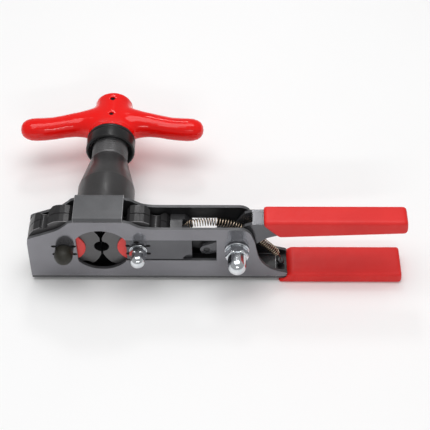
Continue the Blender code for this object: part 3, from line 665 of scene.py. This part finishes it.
def make_marks():
    """Short punched index dashes round the two wheel pins, a little proud of the face they stand on."""
    beside = [(-7.9, 4.7), (-7.9, -4.7), (7.9, 4.7), (7.9, -4.7)]
    above = [(-1.0, 9.0)]
    half_length, half_height, thick, sides = 2.0, 1.3, 0.3, 16
    left = ("left_marks", -WHEEL_X, -0.06, "frame", beside)
    right = ("right_marks", WHEEL_X, 0.7, "carriage", beside + above)
    for name, x, level, body, spots in (left, right):
        shape = bmesh.new()
        for across, up in spots:
            outline = []
            for i in range(sides):
                angle = 2 * pi * i / sides
                outline.append((x + across + half_length * cos(angle), up + half_height * sin(angle)))
            top = [shape.verts.new(place(px, level, pz)) for px, pz in outline]
            low = [shape.verts.new(place(px, level + thick, pz)) for px, pz in outline]
            shape.faces.new(top)
            shape.faces.new(reversed(low))
            for i in range(sides):
                j = (i + 1) % sides
                shape.faces.new((top[i], low[i], low[j], top[j]))
        bmesh.ops.recalc_face_normals(shape, faces=shape.faces)
        mesh = bpy.data.meshes.new(name)
        shape.to_mesh(mesh)
        shape.free()
        finish_piece(name, mesh, [MARK_AND_HOLE_SHADE], body)


def make_levers():
    """The moving handle and the link keep their CAD shape."""
    # The moving handle's bevel takes the lighter edge finish: a painted highlight along its edges, with wear.
    for name, finish, edge in (("moving_handle", INNER, EDGE_WEAR_AND_HIGHLIGHT), ("toggle_link", LINK, None)):
        piece = NODES[name]
        piece.data.materials.clear()
        piece.data.materials.append(finish)
        bevel(piece, 0.25, 2, edge, 40)


def make_spring():
    """The return spring, wound fine; it stretches between the carriage and the strap."""
    path = [(66.5, 16.5), (74.0, 18.6), (84.0, 19.8), (94.0, 19.2), (104.0, 16.4), (112.8, 10.8)]
    path += [(120.8, 3.2), (128.0, -4.6), (134.8, -12.4), (140.6, -20.0)]
    line = smooth_line(path, 24)
    lengths = [0.0]
    for a, b in zip(line, line[1:]):
        lengths.append(lengths[-1] + (b - a).length)
    turns, coil_radius, wire_radius = 43, 2.9, 0.38
    steps = turns * 14
    points = []
    for step in range(steps + 1):
        along = lengths[-1] * step / steps
        span = min(int(np.searchsorted(lengths, along, side="right")) - 1, len(line) - 2)
        part = (along - lengths[span]) / (lengths[span + 1] - lengths[span])
        spot = line[span].lerp(line[span + 1], part)
        ahead = (line[span + 1] - line[span]).normalized()
        angle = 2 * pi * turns * step / steps
        grow = min(1.0, step / 20, (steps - step) / 20)
        across, side = coil_radius * grow * cos(angle), coil_radius * grow * sin(angle)
        points.append(Vector((spot.x - across * ahead.y, MIDDLE_Y + side, spot.y + across * ahead.x)))
    head = [Vector((62.5, MIDDLE_Y, 14.6)), Vector((64.4, MIDDLE_Y, 15.6))]
    tail = [Vector((142.0, MIDDLE_Y, -22.8)), Vector((142.4, MIDDLE_Y, -25.8))]
    wire = tube(head + points + tail, wire_radius, 6)
    finishes = [WIRE, WIRE_PAINTED_SHADE]
    spring = finish_piece("wound_spring", wire, finishes, None, ["return_spring"], 0)
    # The side of the wire that faces the coil's axis is painted dark: painted shade inside the coil.
    axis = np.array([place(spot.x, MIDDLE_Y, spot.y) for spot in line])
    for face in spring.data.polygons:
        outward = np.array(face.center) - axis
        nearest = outward[(outward**2).sum(axis=1).argmin()]
        face.material_index = 1 if Vector(nearest).normalized().dot(face.normal) < -0.2 else 0
    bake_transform(spring)
    screw = [(0, 5.4), (2.4, 5.4), (3.2, 4.4), (3.2, 2.6), (1.9, 2.6), (1.9, -3.6), (0, -3.6)]
    at = (142.6, MIDDLE_Y, -31.6)
    lathe("strap_screw", soften(screw, 0.4), at, LINK, "frame", ["spring_screw"], 64, None, "Z")


# ---------------------------------------------------------------- tower and feed


def make_tower():
    """The housing, with a true helical thread on its neck, whose faces have their own finish."""
    top, start_y, pitch, crest = 113.4, 94.6, 2.0, 15.1
    profile = [(7.6, top), (14.0, top), (14.7, top - 0.7)]
    y = top - 0.9
    while y > start_y:
        profile.append((crest, y))
        y -= pitch / 8
    profile += [(crest, 94.0), (16.0, 93.0), (22.9, 64.7), (23.15, 63.9), (23.3, 63.1), (23.3, 27.3)]
    profile += [(23.1, 26.6), (22.5, 26.3), (12.7, 26.3), (12.7, 23.8), (11.2, 23.8)]
    profile += [(11.2, 96.0), (7.6, 96.0)]

    def threaded(angle, radius, y):
        if radius != crest or y < start_y + 0.1:
            return radius
        phase = (y / pitch + angle / (2 * pi)) % 1.0
        fade = min(1.0, (y - start_y) / pitch)
        return radius - 0.85 * fade * abs(2 * phase - 1)

    tower = lathe("tower_body", profile, (0, 0, 0), HOUSING, "frame", ["tower_housing"], 96,
                  threaded, sharp=40)
    tower.data.materials.append(THREAD)
    for face in tower.data.polygons:
        face.material_index = 1 if face.center.y > place(0, start_y, 0)[1] else 0


def make_feed():
    """Sleeve, spindle, collar, clip, cone and washer."""
    sleeve = [(15.5, 122.4), (20.0, 122.4), (20.6, 121.6), (20.6, 119.6), (20.0, 119.0), (20.0, 118.4)]
    sleeve += [(20.6, 117.8), (20.6, 108.6), (19.6, 107.6), (18.8, 107.6), (16.4, 109.6), (15.5, 112.0)]
    lathe("ring_nut", soften(sleeve, 0.2), (0, 0, 0), BLACK, "screw", ["feed_sleeve"], 128)
    spindle = [(0, 161.3), (7.2, 161.3), (7.2, 60.1), (9.6, 60.1), (9.6, 56.1), (7.2, 56.1), (7.2, 42.9)]
    spindle += [(4.4, 42.9), (4.4, 54.5), (0, 54.5)]
    lathe("feed_spindle", soften(spindle, 0.4), (0, 0, 0), STEEL, "screw", ["spindle"])
    collar = [(7.5, 55.7), (10.6, 55.7), (10.9, 55.4), (10.9, 46.2), (10.6, 45.9), (7.5, 45.9)]
    lathe("collar_ring", collar, (0, 0, 0), STEEL, "collar", ["thrust_collar"])
    clip = [(7.5, 45.5), (10.2, 45.5), (10.2, 44.3), (7.5, 44.3)]
    lathe("collar_clip", clip, (0, 0, 0), WIRE, "collar", ["retaining_clip"])
    cone = [(0, 53.9), (4.0, 53.9), (4.0, 41.4), (8.6, 41.4)]
    cone += [(9.8, 40.2), (9.8, 37.3), (0.5, 27.8), (0, 27.6)]
    lathe("cone_point", soften(cone, 0.3), (0, 0, 0), STEEL, "cone", ["flaring_cone"])
    washer = [(4.3, 42.6), (8.2, 42.6), (8.4, 42.4), (8.4, 41.9), (8.2, 41.7), (4.3, 41.7)]
    lathe("cone_thrust_washer", washer, (0, 0, 0), ZINC, "cone", ["cone_washer"])


def make_t_handle():
    """The T-handle as one casting, its arms running smoothly into the hub, and the hub's two pins."""
    middle = place(0, 142.0, 0)

    def near_the_arms(spots):
        """Each point's share of the smoothing: full where the arms meet the hub, none in the hub's socket."""
        away = np.abs(spots - np.array(middle)) / MM
        along = np.clip((34.0 - away[:, 0]) / 10.0, 0, 1)
        past_hub = np.clip((away[:, 0] - 5.0) / 5.0, 0, 1)
        height = np.clip((19.0 - away[:, 1]) / 4.0, 0, 1)
        outside = np.clip((np.hypot(away[:, 0], away[:, 2]) - 15.8) / 0.5, 0, 1)
        return along * past_hub * height * outside

    casting = remeshed(NODES["t_handle"], 0.9, [(120, 0.5)], near_the_arms)
    finish_piece("t_handle_cast", casting, [RED], "screw", ["t_handle"], 0)
    pins = (("upper_pin", 157.4, 2.0, "hub_pin_upper"), ("lower_pin", 138.8, 1.7, "hub_pin_lower"))
    for name, y, radius, source in pins:
        shank = [(0, 15.2), (radius - 0.3, 15.2), (radius, 14.9), (radius, 7.6), (0, 7.6)]
        # The pins take the near-black mark finish, which stands for the shade down in the hub's holes:
        # painted shade.
        lathe(name, soften(shank, 0.2), (0, y, 0), MARK_AND_HOLE_SHADE, "screw", [source], 48, None, "Z")


# ---------------------------------------------------------------- stage


def area(name, spot, target, size, power):
    """A soft rectangular light aimed at a point."""
    data = bpy.data.lights.new(name, "AREA")
    data.shape = "RECTANGLE"
    data.size, data.size_y = size
    data.energy = power
    lamp = bpy.data.objects.new(name, data)
    bpy.context.scene.collection.objects.link(lamp)
    lamp.location = spot
    lamp.rotation_euler = (Vector(target) - Vector(spot)).to_track_quat("-Z", "Y").to_euler()


def make_stage():
    """A pale floor, soft lights and the camera."""
    floor_mesh = bpy.data.meshes.new("floor")
    shape = bmesh.new()
    bmesh.ops.create_grid(shape, x_segments=2, y_segments=2, size=4.0)
    shape.to_mesh(floor_mesh)
    shape.free()
    floor = bpy.data.objects.new("floor", floor_mesh)
    bpy.context.scene.collection.objects.link(floor)
    floor.location = (0, 0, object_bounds()[0][2] - 0.0002)
    made, tree, shader, coords = start("floor_white", 0.0)
    tint = ramp(tree, noise(tree, coords, 3.0), [(0.3, (0.93, 0.93, 0.93)), (0.7, (0.95, 0.95, 0.95))])
    tree.links.new(tint, shader.inputs["Base Color"])
    shader.inputs["Roughness"].default_value = 0.9
    floor_mesh.materials.append(made)
    bpy.context.scene.view_settings.view_transform = "Standard"
    world = bpy.data.worlds.new("studio")
    bpy.context.scene.world = world
    world.use_nodes = True
    world.node_tree.nodes["Background"].inputs["Color"].default_value = (1, 1, 1, 1)
    world.node_tree.nodes["Background"].inputs["Strength"].default_value = 0.4
    area("overhead", (0.05, 0.12, 1.3), (0.08, 0, 0.02), (1.3, 0.9), 11.0)
    area("front", (0.2, -0.95, 0.62), (0.08, 0, 0.04), (0.5, 0.05), 1.5)
    area("rear", (0.03, 0.85, 0.98), (0, 0.06, 0.04), (0.20, 0.16), 1.5)
    data = bpy.data.cameras.new("camera")
    data.lens = 98.0
    data.sensor_width = 36.0
    data.clip_start = 0.01
    camera = bpy.data.objects.new("camera", data)
    bpy.context.scene.collection.objects.link(camera)
    right = Vector((0.9999559, 0.0077812, -0.0052508))
    up = Vector((-0.0023950, 0.7523265, 0.6587861))
    back = Vector((0.0090764, -0.6587445, 0.7523120))
    turn = Matrix((right, up, back)).transposed().to_4x4()
    turn.translation = Vector((0.0980, -0.59873, 0.74700))
    camera.matrix_world = turn
    bpy.context.scene.camera = camera


make_frame()
make_grips()
make_left_pivot()
make_handle_pivot()
make_dies()
make_carriage()
make_marks()
make_levers()
make_spring()
make_tower()
make_feed()
make_t_handle()
make_stage()
